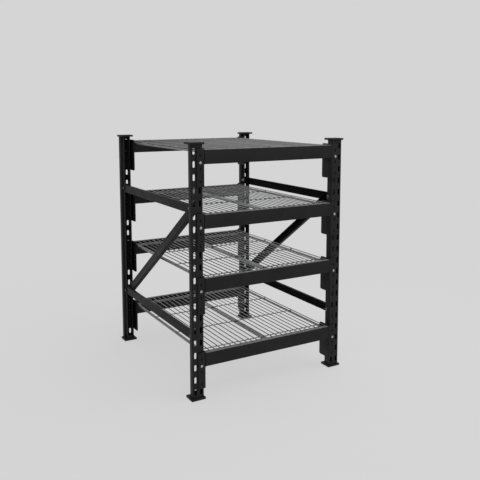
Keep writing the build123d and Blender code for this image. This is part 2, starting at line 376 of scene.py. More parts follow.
def section_tree(slotted):
    """Fills outlines, with a grid of round-ended slots where wanted, and gives the plate its thickness."""
    inputs = {"Thickness": "Float", "Finish": "Material"}
    if slotted:
        inputs |= {"Slot Width": "Float", "Slot Height": "Float", "Pitch": "Float", "Gauge": "Float"}
        inputs |= {"Columns": "Int", "Rows": "Int", "Centre": "Vector"}
    tree, given = new_tree("Slotted Section" if slotted else "Plain Section", inputs)
    outline = add_node(tree, "GeometryNodeMeshToCurve", {"Mesh": given["Geometry"]})[0]
    if slotted:
        arc_points = 5
        nearly_half = 0.499  # so that the two arcs of a slot's end don't meet in one point
        end_radius = times(tree, given["Slot Width"], nearly_half)
        sockets = {"Width": given["Slot Width"], "Height": given["Slot Height"]}
        slot = add_node(tree, "GeometryNodeCurvePrimitiveQuadrilateral", sockets)[0]
        sockets = {"Curve": slot, "Count": arc_points, "Radius": end_radius}
        slot = add_node(tree, "GeometryNodeFilletCurve", sockets, mode="POLY")[0]
        grid = point_grid(tree, given["Columns"], given["Gauge"], given["Rows"], given["Pitch"])
        sockets = {"Geometry": grid, "Translation": given["Centre"]}
        places = add_node(tree, "GeometryNodeTransform", sockets)[0]
        outline = joined(tree, outline, realized(tree, at_points(tree, places, slot)))
    base = add_node(tree, "GeometryNodeFillCurve", {"Curve": outline}, mode="TRIANGLES")[0]
    sockets = {"Mesh": base, "Offset": vector_node(tree, z=given["Thickness"]), "Individual": False}
    raised = add_node(tree, "GeometryNodeExtrudeMesh", sockets)[0]
    underside = add_node(tree, "GeometryNodeFlipFaces", {"Mesh": base})[0]
    sockets = {"Geometry": joined(tree, raised, underside), "Distance": 1e-6}
    closed = add_node(tree, "GeometryNodeMergeByDistance", sockets)[0]
    return finish_tree(tree, closed, given["Finish"])


def toned(tree, points):
    """Points that each carry a tone between 0 and 1, which the wires grown on them keep."""
    tone = tree.nodes.new("FunctionNodeRandomValue")
    tone.inputs["Seed"].default_value = TONE_SEED
    value = next(socket for socket in tone.outputs if socket.enabled)
    sockets = {"Geometry": points, "Name": TONE, "Value": value}
    return add_node(tree, "GeometryNodeStoreNamedAttribute", sockets, domain="POINT", data_type="FLOAT")[0]


def wire_run(tree, length_socket, pitch, count, height, radius, along_x):
    """Parallel round wires, centred on the origin."""
    along, across = ("x", "y") if along_x else ("y", "x")
    start = vector_node(tree, **{along: times(tree, length_socket, -0.5)})
    end = vector_node(tree, **{along: times(tree, length_socket, 0.5)})
    line = add_node(tree, "GeometryNodeCurvePrimitiveLine", {"Start": start, "End": end})[0]
    first = times(tree, spread(tree, count, pitch), -0.5)
    sockets = {
        "Count": count,
        "Start Location": vector_node(tree, z=height, **{across: first}),
        "Offset": vector_node(tree, **{across: pitch}),
    }
    points = add_node(tree, "GeometryNodeMeshLine", sockets)[0]
    lines = realized(tree, at_points(tree, toned(tree, points), line))
    sides = 12
    return swept(tree, lines, circle(tree, sides, radius))


def wire_deck_tree():
    """Long wires on a few cross wires, with a weld spot at every crossing."""
    inputs = dict.fromkeys(("Length", "Width", "Wire", "Pitch", "Cross Pitch", "Weld"), "Float")
    inputs |= {"Long Wires": "Int", "Cross Wires": "Int", "Finish": "Material"}
    tree, given = new_tree("Wire Deck", inputs)
    pitch, count = given["Pitch"], given["Long Wires"]
    cross_pitch, cross_count = given["Cross Pitch"], given["Cross Wires"]
    radius = times(tree, given["Wire"], 0.5)
    below = times(tree, radius, -1.0)
    long_wires = wire_run(tree, given["Length"], pitch, count, radius, radius, False)
    cross_wires = wire_run(tree, given["Width"], cross_pitch, cross_count, below, radius, True)
    sockets = {"Radius": times(tree, given["Weld"], 0.5), "Subdivisions": 2}
    bead = add_node(tree, "GeometryNodeMeshIcoSphere", sockets)[0]
    flattened = (1.0, 1.0, 0.6)
    bead = add_node(tree, "GeometryNodeTransform", {"Geometry": bead, "Scale": flattened})[0]
    crossings = toned(tree, point_grid(tree, count, pitch, cross_count, cross_pitch))
    beads = at_points(tree, crossings, bead)
    return finish_tree(tree, joined(tree, long_wires, cross_wires, beads), given["Finish"])


def fastener_tree():
    """A six-sided head or nut with a washer face and a shank, at each vertex, standing along +Z."""
    inputs = dict.fromkeys(("Across", "Height", "Shank", "Reach"), "Float") | {"Finish": "Material"}
    tree, given = new_tree("Hexagon Fastener", inputs)
    crown_top, washer_share, crown_share = 0.86, 0.12, 0.16  # of the flats' radius, and of the height
    corner_radius = times(tree, given["Across"], 1 / math.sqrt(3))
    flat_radius = times(tree, given["Across"], 0.5)
    crown_radius = times(tree, flat_radius, crown_top)
    shank_radius = times(tree, given["Shank"], 0.5)
    washer_height = times(tree, given["Height"], washer_share)
    crown_height = times(tree, given["Height"], crown_share)
    crown_rise = math_node(tree, "SUBTRACT", given["Height"], crown_height)
    head_height = math_node(tree, "SUBTRACT", given["Height"], washer_height)
    prism_height = math_node(tree, "SUBTRACT", head_height, crown_height)
    shank_end = times(tree, given["Reach"], -1.0)
    parts = []
    for sides, low, high, height, rise in (
        (6, corner_radius, corner_radius, prism_height, washer_height),
        (24, flat_radius, crown_radius, crown_height, crown_rise),
        (24, flat_radius, flat_radius, washer_height, 0.0),
        (20, shank_radius, shank_radius, given["Reach"], shank_end),
    ):
        sockets = {"Vertices": sides, "Radius Bottom": low, "Radius Top": high, "Depth": height}
        cone = add_node(tree, "GeometryNodeMeshCone", sockets)[0]
        sockets = {"Geometry": cone, "Translation": vector_node(tree, z=rise)}
        parts.append(add_node(tree, "GeometryNodeTransform", sockets)[0])
    placed = at_points(tree, given["Geometry"], joined(tree, *parts))
    return finish_tree(tree, placed, given["Finish"])


def weld_tree():
    """Uneven bead along an open line."""
    tree, given = new_tree("Weld Bead", {"Width": "Float", "Finish": "Material"})
    step, ripples, thin, thick, sides = 0.0012, 420.0, 0.75, 1.2, 8
    line = add_node(tree, "GeometryNodeMeshToCurve", {"Mesh": given["Geometry"]})[0]
    line = add_node(tree, "GeometryNodeResampleCurve", {"Curve": line, "Length": step}, mode="LENGTH")[0]
    sockets = {"Scale": ripples, "Detail": 1.0}
    ripple = add_node(tree, "ShaderNodeTexNoise", sockets, noise_dimensions="3D")["Fac"]
    sockets = {"Value": ripple, "To Min": thin, "To Max": thick}
    width = add_node(tree, "ShaderNodeMapRange", sockets, data_type="FLOAT")["Result"]
    sized = add_node(tree, "GeometryNodeSetCurveRadius", {"Curve": line, "Radius": width})[0]
    ring = circle(tree, sides, times(tree, given["Width"], 0.5))
    return finish_tree(tree, swept(tree, sized, ring, Scale=width), given["Finish"])


def grown(tree, source, values):
    """Plain mesh that a node tree makes from a source mesh and values for its named inputs."""
    host = bpy.data.objects.new(tree.name, source)
    bpy.context.scene.collection.objects.link(host)
    modifier = host.modifiers.new(tree.name, "NODES")
    modifier.node_group = tree
    sockets = {item.name: item.identifier for item in tree.interface.items_tree if item.in_out == "INPUT"}
    for label, value in values.items():
        modifier[sockets[label]] = value
    evaluated = host.evaluated_get(bpy.context.evaluated_depsgraph_get())
    mesh = bpy.data.meshes.new_from_object(evaluated)
    host.modifiers.clear()
    bpy.data.objects.remove(host)
    if not mesh.polygons:
        raise RuntimeError(f"{tree.name} made no faces")
    mesh.materials.clear()
    mesh.materials.append(values["Finish"])
    mesh.polygons.foreach_set("material_index", [0] * len(mesh.polygons))
    return mesh


# Meshes and pieces


def outline_mesh(loops, closed=True):
    """Loose edges along each outline, on the XY plane."""
    points, edges = [], []
    for loop in loops:
        first = len(points)
        points += [(point.x, point.y, 0.0) for point in loop]
        last = len(points) - 1
        edges += [(index, index + 1) for index in range(first, last)]
        if closed:
            edges.append((last, first))
    mesh = bpy.data.meshes.new("outline")
    mesh.from_pydata(points, edges, [])
    return mesh


def axes(x_axis, y_axis, z_axis, origin=(0, 0, 0)):
    """Matrix that lays the three axes of a flat outline along the given ones."""
    matrix = Matrix((x_axis, y_axis, z_axis)).transposed().to_4x4()
    matrix.translation = Vector(origin)
    return matrix


def section(name, loops, thickness, material, placing, slots=None):
    """Plate or bar with the given outlines, laid in place."""
    tree = bpy.data.node_groups.get(name) or section_tree(slots is not None)
    values = {"Thickness": thickness, "Finish": material} | (slots or {})
    mesh = grown(tree, outline_mesh(loops), values)
    mesh.transform(placing)
    return mesh


def plain_section(loops, thickness, material, placing):
    """Section with no slots."""
    return section("Plain Section", loops, thickness, material, placing)


def slotted_section(loops, thickness, material, placing, slots):
    """Section with a grid of slots."""
    return section("Slotted Section", loops, thickness, material, placing, slots)


def merged(meshes, weld=False):
    """One mesh from several, and one shell where sheets meet face to face and are to be welded."""
    apart = 1e-5  # vertices nearer than this become one
    whole = bmesh.new()
    for mesh in meshes:
        whole.from_mesh(mesh)
    if weld:
        bmesh.ops.remove_doubles(whole, verts=whole.verts, dist=apart)
        inner = [face for face in whole.faces if all(len(edge.link_faces) > 2 for edge in face.edges)]
        bmesh.ops.delete(whole, geom=inner, context="FACES")
    result = bpy.data.meshes.new("merged")
    whole.to_mesh(result)
    whole.free()
    result.materials.append(meshes[0].materials[0])
    return result


def moved(mesh, matrix):
    """Copy of a mesh under a matrix."""
    copy = mesh.copy()
    copy.transform(matrix)
    return copy


def soften(mesh, width):
    """Small bevel on the sharp edges, so that they catch the light as real edges do."""
    host = bpy.data.objects.new("softened", mesh)
    bpy.context.scene.collection.objects.link(host)
    bevel = host.modifiers.new("Soft edges", "BEVEL")
    bevel.width = width
    bevel.segments = 2
    bevel.limit_method = "ANGLE"
    bevel.angle_limit = SHARP_BEND
    bevel.use_clamp_overlap = True
    result = bpy.data.meshes.new_from_object(host.evaluated_get(bpy.context.evaluated_depsgraph_get()))
    bpy.data.objects.remove(host)
    return result


def face_outwards(mesh):
    """Turn every closed shell's faces outwards."""
    shell = bmesh.new()
    shell.from_mesh(mesh)
    bmesh.ops.recalc_face_normals(shell, faces=shell.faces)
    shell.to_mesh(mesh)
    shell.free()


def make_piece(name, mesh, body, finish_slot, *nodes):
    """Object of a finished piece, riding on its body and standing for its CAD nodes."""
    mesh.name = name
    face_outwards(mesh)
    mesh.shade_smooth()
    mesh.set_sharp_from_angle(angle=SMOOTH_BEND)
    piece = bpy.data.objects.new(name, mesh)
    bpy.context.scene.collection.objects.link(piece)
    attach(piece, body)
    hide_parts(*nodes)
    return piece


# Finishes


def new_material(name):
    """Node material with its Principled shader and the object's own coordinates."""
    material = bpy.data.materials.new(name)
    material.use_nodes = True
    tree = material.node_tree
    shader = tree.nodes["Principled BSDF"]
    place = tree.nodes.new("ShaderNodeTexCoord").outputs["Object"]
    return material, tree, shader, place


def noise(tree, place, scale, detail=2.0):
    """Noise between 0 and 1, scale in waves to a metre."""
    return add_node(tree, "ShaderNodeTexNoise", {"Vector": place, "Scale": scale, "Detail": detail})["Fac"]


def clouded(tree, place, scale, metal, darker, lighter):
    """Colour that drifts between a darker and a lighter tone of its own."""
    clouds = ranged(tree, noise(tree, place, scale, detail=3.0), 0.0, 1.0)
    return mixed_colour(tree, clouds, scaled(metal, darker), scaled(metal, lighter))


def ranged(tree, value, low, high, from_low=0.35, from_high=0.65):
    """Value carried from one range to another, held at both ends."""
    sockets = {"Value": value, "From Min": from_low, "From Max": from_high, "To Min": low, "To Max": high}
    return add_node(tree, "ShaderNodeMapRange", sockets)["Result"]


def mixed_colour(tree, factor, first, second):
    """Colour between two others."""
    node = tree.nodes.new("ShaderNodeMix")
    node.data_type = "RGBA"
    tree.links.new(factor, node.inputs["Factor"])
    colour_inputs = [socket for socket in node.inputs if socket.type == "RGBA"]
    for socket, value in zip(colour_inputs, (first, second)):
        if isinstance(value, bpy.types.NodeSocket):
            tree.links.new(value, socket)
        else:
            socket.default_value = (*value, 1.0)
    return next(socket for socket in node.outputs if socket.type == "RGBA")


def bumped(tree, shader, height, strength, distance):
    """Bump of a height pattern on the shader."""
    sockets = {"Height": height, "Strength": strength, "Distance": distance}
    normal = add_node(tree, "ShaderNodeBump", sockets)["Normal"]
    tree.links.new(normal, shader.inputs["Normal"])


def scaled(colour_value, factor):
    """Colour made lighter or darker."""
    return tuple(min(1.0, channel * factor) for channel in colour_value)


def powder_coat(name, finish, scuff_and_sheen_on_tops=False, painted_inner_shade=False):
    """Black powder coat: fine orange peel, faint clouds, and either lighter upward faces (rubbed wear with a
    painted sheen of the light from above) or darker, rougher faces inside the channels (painted shade).
    """
    material, tree, shader, place = new_material(name)
    cloud_scale, patch_scale, wear_and_sheen_scale, peel_scale = 9.0, 26.0, 60.0, 900.0
    tone = clouded(tree, place, cloud_scale, finish.coat, darker=0.85, lighter=1.2)
    gloss = ranged(tree, noise(tree, place, patch_scale, detail=4.0), low=-0.05, high=0.06)
    facing = tree.nodes.new("ShaderNodeTexCoord").outputs["Normal"]
    facing = add_node(tree, "ShaderNodeSeparateXYZ", {"Vector": facing})
    if scuff_and_sheen_on_tops:
        # Painted sheen: upward faces are made lighter in patches. The patches stand both for the light from
        # above glancing off the ledges and for rubbed wear.
        top_sheen_mask = ranged(tree, facing["Z"], 0.0, 1.0, from_low=0.7, from_high=0.95)
        wear_and_sheen_patches = ranged(tree, noise(tree, place, wear_and_sheen_scale, detail=4.0), low=0.55, high=1.0)
        tone = mixed_colour(tree, times(tree, wear_and_sheen_patches, top_sheen_mask), tone, finish.scuff_and_sheen)
    if painted_inner_shade:
        # Painted shade: faces inside the channels that turn towards the middle of the rack get a darker
        # colour and more roughness, for the shade in these recesses.
        inner_shade_factor, duller = 0.25, 0.35
        x = add_node(tree, "ShaderNodeSeparateXYZ", {"Vector": place})["X"]
        outward = times(tree, math_node(tree, "SIGN", x, 0.0), facing["X"])
        inside = ranged(tree, outward, 1.0, 0.0, from_low=-0.9, from_high=-0.5)
        tone = mixed_colour(tree, inside, tone, scaled(finish.coat, inner_shade_factor))
        gloss = math_node(tree, "ADD", gloss, times(tree, inside, duller))
    tree.links.new(tone, shader.inputs["Base Color"])
    shader.inputs["Specular IOR Level"].default_value = finish.coat_specular
    roughness = math_node(tree, "ADD", gloss, finish.coat_roughness)
    tree.links.new(roughness, shader.inputs["Roughness"])
    peel_depth = 0.00015
    bumped(tree, shader, noise(tree, place, peel_scale), strength=0.12, distance=peel_depth)
    return material


def wire_shade(tree, _place):
    """Brightness of each wire, from the tone it was grown with."""
    dullest, brightest = 0.78, 1.38
    tone = add_node(tree, "ShaderNodeAttribute", attribute_name=TONE)["Fac"]
    return ranged(tree, tone, dullest, brightest, 0.0, 1.0)


def rail_painted_light(tree, place):
    """Brightness of the channels: the one in the middle is painted lighter than the two side rails, against
    the shade of the wires over it.
    """
    middle, side = 1.0, 0.62
    x = add_node(tree, "ShaderNodeSeparateXYZ", {"Vector": place})["X"]
    from_middle = math_node(tree, "ABSOLUTE", x, 0.0)
    return ranged(tree, from_middle, middle, side, from_low=0.1, from_high=0.2)


def galvanised(name, metal, roughness_value, shade):
    """Galvanised steel: dull grey metal with soft grain and slightly uneven gloss."""
    material, tree, shader, place = new_material(name)
    grain_scale, patch_scale, pit_scale, pit_depth = 260.0, 90.0, 1400.0, 0.0001
    shader.inputs["Metallic"].default_value = 1.0
    grain = add_node(tree, "ShaderNodeTexVoronoi", {"Vector": place, "Scale": grain_scale})["Color"]
    level = add_node(tree, "ShaderNodeSeparateColor", {"Color": grain})[0]
    darker, lighter = scaled(metal, 0.82), scaled(metal, 1.14)
    tone = mixed_colour(tree, level, darker, lighter)
    tone = add_node(tree, "ShaderNodeHueSaturation", {"Color": tone, "Value": shade(tree, place)})["Color"]
    tree.links.new(tone, shader.inputs["Base Color"])
    patches = noise(tree, place, patch_scale, detail=3.0)
    roughness = ranged(tree, patches, low=roughness_value - 0.08, high=roughness_value + 0.1)
    tree.links.new(roughness, shader.inputs["Roughness"])
    bumped(tree, shader, noise(tree, place, pit_scale), strength=0.1, distance=pit_depth)
    return material


def zinc_plate(name, metal):
    """Zinc on the fasteners: clouds of tone and uneven gloss."""
    material, tree, shader, place = new_material(name)
    cloud_scale, patch_scale = 160.0, 500.0
    shader.inputs["Metallic"].default_value = 1.0
    tone = clouded(tree, place, cloud_scale, metal, darker=0.85, lighter=1.1)
    tree.links.new(tone, shader.inputs["Base Color"])
    glossy, matt = 0.22, 0.38
    tree.links.new(ranged(tree, noise(tree, place, patch_scale), glossy, matt), shader.inputs["Roughness"])
    return material


def finish_material(kind):
    """The material of a kind of finish, made once."""
    material = bpy.data.materials.get(kind)
    if material:
        return material
    finish = bpy.context.scene.rack_finish
    makers = {
        "Black Powder Coat": lambda: powder_coat(kind, finish),
        "Powder Coat With Scuffs And Painted Sheen": lambda: powder_coat(kind, finish, scuff_and_sheen_on_tops=True),
        "Channel Powder Coat With Painted Inner Shade": lambda: powder_coat(kind, finish, painted_inner_shade=True),
        "Galvanised Wire": lambda: galvanised(kind, finish.wire, finish.wire_roughness, wire_shade),
        "Galvanised Channel": lambda: galvanised(kind, finish.channel, finish.channel_roughness, rail_painted_light),
        "Zinc Plate": lambda: zinc_plate(kind, finish.zinc),
        "Darker Zinc": lambda: zinc_plate(kind, finish.darker_zinc),
    }
    return makers[kind]()


# The rack's pieces


class RACK_OT_uprights(bpy.types.Operator):
    """Roll the four uprights, with their two columns of slots"""

    bl_idname = "rack.uprights"
    bl_label = "Uprights"

    def execute(self, context):
        sizes = context.scene.rack_uprights
        coat = finish_material("Black Powder Coat")
        low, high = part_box("post_front_right")
        width, depth, height = high - low
        flat = width / 2 - sizes.wall - sizes.bend
        path = [
            (flat, 0),
            (width / 2, 0),
            (width / 2, sizes.shoulder),
            (sizes.neck / 2, sizes.shoulder),
            (sizes.neck / 2, depth),
        ]
        flange = folded_sheet(path, sizes.wall, sizes.bend)
        mirrored_flange = [Vector((-point.x, point.y)) for point in flange]
        rows = round(height / sizes.slot_pitch)
        slots = {
            "Slot Width": sizes.slot_width,
            "Slot Height": sizes.slot_height,
            "Pitch": sizes.slot_pitch,
            "Gauge": sizes.slot_gauge,
            "Columns": 2,
            "Rows": rows,
            "Centre": (0.0, height / 2, 0.0),
        }
        outline = rectangle(0, height / 2, 2 * flat, height)
        web = slotted_section([outline], sizes.wall, coat, axes(X, Z, -Y, (0, sizes.wall, 0)), slots)
        flanges = plain_section([flange, mirrored_flange], height, coat, axes(X, Y, Z))
        upright = soften(merged([web, flanges], weld=True), context.scene.rack_finish.softness)
        for end, side in CORNERS:
            node = f"post_{end}_{side}"
            low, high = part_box(node)
            web_y = low.y if end == "front" else high.y
            turn = Matrix.Rotation(0.0 if end == "front" else math.pi, 4, "Z")
            place = Matrix.Translation(((low.x + high.x) / 2, web_y, low.z))
            make_piece(f"upright_{end}_{side}", moved(upright, place @ turn), RACK_BODY, BLACK, node)
        return {"FINISHED"}


class RACK_OT_plates(bpy.types.Operator):
    """Cut the plates under the feet and on the heads of the uprights"""

    bl_idname = "rack.plates"
    bl_label = "Foot and Cap Plates"

    def execute(self, context):
        sizes = context.scene.rack_plates
        coat = finish_material("Black Powder Coat")
        for kind in ("foot_plate", "top_cap"):
            for end, side in CORNERS:
                node = f"{kind}_{end}_{side}"
                low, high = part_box(node)
                middle, size = (low + high) / 2, high - low
                outline = rectangle(middle.x, middle.y, size.x, size.y, (sizes.corner,) * 4)
                plate = plain_section([outline], size.z, coat, axes(X, Y, Z, (0, 0, low.z)))
                if kind == "foot_plate":
                    upstand = self.upstand(sizes, context.scene.rack_uprights, end, side, high.z, coat)
                    plate = merged([plate, upstand])
                plate = soften(plate, context.scene.rack_finish.softness)
                make_piece(f"plate_{kind}_{end}_{side}", plate, RACK_BODY, "black_plate", node)
        return {"FINISHED"}

    @staticmethod
    def upstand(sizes, uprights, end, side, floor_z, coat):
        """Low plate that stands on a foot plate, in the mouth of its upright."""
        low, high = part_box(f"post_{end}_{side}")
        width = uprights.neck - 2 * uprights.wall - 2 * sizes.upstand_gap
        sunk = 0.0005
        outline = rectangle(
            (low.x + high.x) / 2,
            floor_z + (sizes.upstand - sunk) / 2,
            width,
            sizes.upstand + sunk,
            (0, 0, sizes.corner, sizes.corner),
        )
        inset = sizes.upstand_inset
        rear = high.y - inset if end == "front" else low.y + inset + sizes.upstand_wall
        return plain_section([outline], sizes.upstand_wall, coat, axes(X, Z, -Y, (0, rear, 0)))


class RACK_OT_connectors(bpy.types.Operator):
    """Fold the angle connectors, with their windows and claws"""

    bl_idname = "rack.connectors"
    bl_label = "Connectors"

    def execute(self, context):
        sizes = context.scene.rack_connectors
        uprights = context.scene.rack_uprights
        coat = finish_material("Black Powder Coat")
        low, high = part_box("connector_front_right_1")
        level = high.z - sizes.above
        post_low, post_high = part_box("post_front_right")
        web_y = post_low.y
        slot_x = (post_low.x + post_high.x - uprights.slot_gauge) / 2
        fold = sizes.bend + sizes.thickness
        height = high.z - low.z
        middle_z = (low.z + high.z) / 2 - level
        seat = -uprights.slot_height / 2

        radii = (0, sizes.corner, sizes.corner, 0)
        windows = {
            "Slot Width": sizes.window_width,
            "Slot Height": sizes.window_height,
            "Pitch": uprights.slot_pitch,
            "Gauge": 0.0,
            "Columns": 1,
            "Rows": 3,
            "Centre": (slot_x, seat - sizes.window_height / 2, 0.0),
        }
        outline = rectangle((low.x + fold + high.x) / 2, middle_z, high.x - low.x - fold, height, radii)
        place = axes(X, Z, -Y, (0, web_y, 0))
        front = slotted_section([outline], sizes.thickness, coat, place, windows)
        side_depth = high.y - low.y - fold
        outline = rectangle(low.y + fold + side_depth / 2, middle_z, side_depth, height, radii)
        side = plain_section([outline], sizes.thickness, coat, axes(Y, Z, X, (low.x, 0, 0)))
        corner_path = [(low.x, low.y + fold), (low.x, low.y), (low.x + fold, low.y)]
        outline = folded_sheet(corner_path, sizes.thickness, sizes.bend)
        corner = plain_section([outline], height, coat, axes(X, Y, Z, (0, 0, low.z - level)))
        claw_outline = self.claw(sizes, uprights.wall, seat)
        place = axes(Y, Z, X, (slot_x - sizes.claw_width / 2, web_y, 0))
        claws = []
        for row in (-1, 0, 1):
            outline = [Vector((point.x, point.y + row * uprights.slot_pitch)) for point in claw_outline]
            claws.append(plain_section([outline], sizes.claw_width, coat, place))
        angle = soften(merged([front, side, corner], weld=True), context.scene.rack_finish.softness)
        whole = merged([angle, soften(merged(claws), context.scene.rack_finish.softness)])
        for number in LEVELS:
            for end, side_name in CORNERS:
                node = f"connector_{end}_{side_name}_{number}"
                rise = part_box(node)[1].z - sizes.above
                mirror = Matrix.Diagonal((SIDES[side_name], ENDS[end], 1, 1))
                mesh = moved(whole, Matrix.Translation((0, 0, rise)) @ mirror)
                make_piece(f"hook_plate_{end}_{side_name}_{number}", mesh, RACK_BODY, BLACK, node)
        return {"FINISHED"}

    @staticmethod
    def claw(sizes, web, seat):
        """Outline of a claw in (y, z): through the slot, and down behind the upright's web."""
        root = web + sizes.claw_gap
        tip = root + sizes.claw_tip
        point, heel, shoulder = 0.001, 0.0015, 0.003
        return rounded(
            [
                (-sizes.claw_root, seat, 0),
                (root, seat, 0),
                (root, seat - sizes.claw_drop, point),
                (tip, seat - sizes.claw_drop, heel),
                (tip, seat + sizes.claw_neck, shoulder),
                (-sizes.claw_root, seat + sizes.claw_neck, 0),
            ]
        )


def beam_outline(low, high, sizes):
    """Outline of the front beam across its length, from its box, in (y, z)."""
    return [
        (low.y, low.z, sizes.bend),
        (high.y, low.z, sizes.bend),
        (high.y, high.z - sizes.step, sizes.bend),
        (low.y + sizes.ledge, high.z - sizes.step, sizes.bend / 2),
        (low.y + sizes.ledge, high.z, sizes.bend),
        (low.y, high.z, sizes.bend),
    ]


class RACK_OT_beams(bpy.types.Operator):
    """Roll the eight stepped beams"""

    bl_idname = "rack.beams"
    bl_label = "Beams"

    def execute(self, context):
        sizes = context.scene.rack_beams
        coat = finish_material("Powder Coat With Scuffs And Painted Sheen")
        low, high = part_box("beam_front_1")
        outline = rounded(beam_outline(low, high, sizes))
        beam = plain_section([outline], high.x - low.x, coat, axes(Y, Z, X, (low.x, 0, 0)))
        for number in LEVELS:
            for end in ENDS:
                node = f"beam_{end}_{number}"
                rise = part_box(node)[0].z - low.z
                mirror = Matrix.Diagonal((1, ENDS[end], 1, 1))
                mesh = moved(beam, Matrix.Translation((0, 0, rise)) @ mirror)
                make_piece(f"shelf_beam_{end}_{number}", mesh, RACK_BODY, BLACK, node)
        return {"FINISHED"}


class RACK_OT_welds(bpy.types.Operator):
    """Lay the weld beads between the beams and their connectors"""

    bl_idname = "rack.welds"
    bl_label = "Weld Beads"

    def execute(self, context):
        sizes = context.scene.rack_beams
        width = context.scene.rack_connectors.weld
        coat = finish_material("Black Powder Coat")
        low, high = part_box("beam_front_1")
        sink, end_sink = width * 0.3, width * 0.2
        run = [
            Vector((high.y - sizes.bend, low.z + sink)),
            Vector((low.y + sink, low.z + sink)),
            Vector((low.y + sink, high.z - sink)),
            Vector((low.y + sizes.ledge - width, high.z - sink)),
        ]
        tree = bpy.data.node_groups.get("Weld Bead") or weld_tree()
        bead = grown(tree, outline_mesh([run], closed=False), {"Width": width, "Finish": coat})
        bead.transform(axes(Y, Z, X, (high.x - end_sink, 0, 0)))
        for end in ENDS:
            meshes = []
            for number in LEVELS:
                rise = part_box(f"beam_{end}_{number}")[0].z - low.z
                for side in SIDES.values():
                    mirror = Matrix.Diagonal((side, ENDS[end], 1, 1))
                    meshes.append(moved(bead, Matrix.Translation((0, 0, rise)) @ mirror))
            make_piece(f"beam_welds_{end}", merged(meshes), RACK_BODY, BLACK)
        return {"FINISHED"}


class RACK_OT_decks(bpy.types.Operator):
    """Weld the wire decks and fold the channels under them"""

    bl_idname = "rack.decks"
    bl_label = "Wire Decks"

    def execute(self, context):
        sizes = context.scene.rack_decks
        wire_finish = finish_material("Galvanised Wire")
        channel_finish = finish_material("Galvanised Channel")
        low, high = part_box("deck_mesh_1")
        deck_length = high.y - low.y
        long_wires = 1 + round((high.x - low.x - sizes.wire) / sizes.pitch)
        cross_wires = 4
        values = {
            "Length": deck_length,
            "Width": (long_wires - 1) * sizes.pitch + sizes.wire,
            "Wire": sizes.wire,
            "Pitch": sizes.pitch,
            "Cross Pitch": (deck_length - 2 * sizes.cross_inset) / (cross_wires - 1),
            "Long Wires": long_wires,
            "Cross Wires": cross_wires,
            "Weld": sizes.weld,
            "Finish": wire_finish,
        }
        tree = bpy.data.node_groups.get("Wire Deck") or wire_deck_tree()
        wires = grown(tree, bpy.data.meshes.new("deck"), values)
        channel_low, channel_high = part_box("deck_channels_1")
        channel_height = channel_high.z - channel_low.z
        side_x = channel_high.x - sizes.side_rail / 2
        rails = ((0.0, sizes.centre_channel), (-side_x, sizes.side_rail), (side_x, sizes.side_rail))
        outlines = []
        for x, width in rails:
            path = [
                (x + width / 2, 0),
                (x + width / 2, channel_height),
                (x - width / 2, channel_height),
                (x - width / 2, 0),
            ]
            outlines.append(folded_sheet(path, sizes.channel_wall, sizes.channel_bend))
        place = axes(X, Z, -Y, (0, channel_high.y, 0))
        channels = plain_section(outlines, deck_length, channel_finish, place)
        for number in LEVELS:
            body = f"deck_{number}"
            node = f"deck_mesh_{number}"
            middle = sum(box.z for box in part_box(node)) / 2
            mesh = moved(wires, Matrix.Translation((0, 0, middle)))
            make_piece(f"wire_deck_{number}", mesh, body, "galvanised_wire", node)
            node = f"deck_channels_{number}"
            mesh = moved(channels, Matrix.Translation((0, 0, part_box(node)[0].z)))
            make_piece(f"deck_rails_{number}", mesh, body, "galvanised_channel", node)
        return {"FINISHED"}


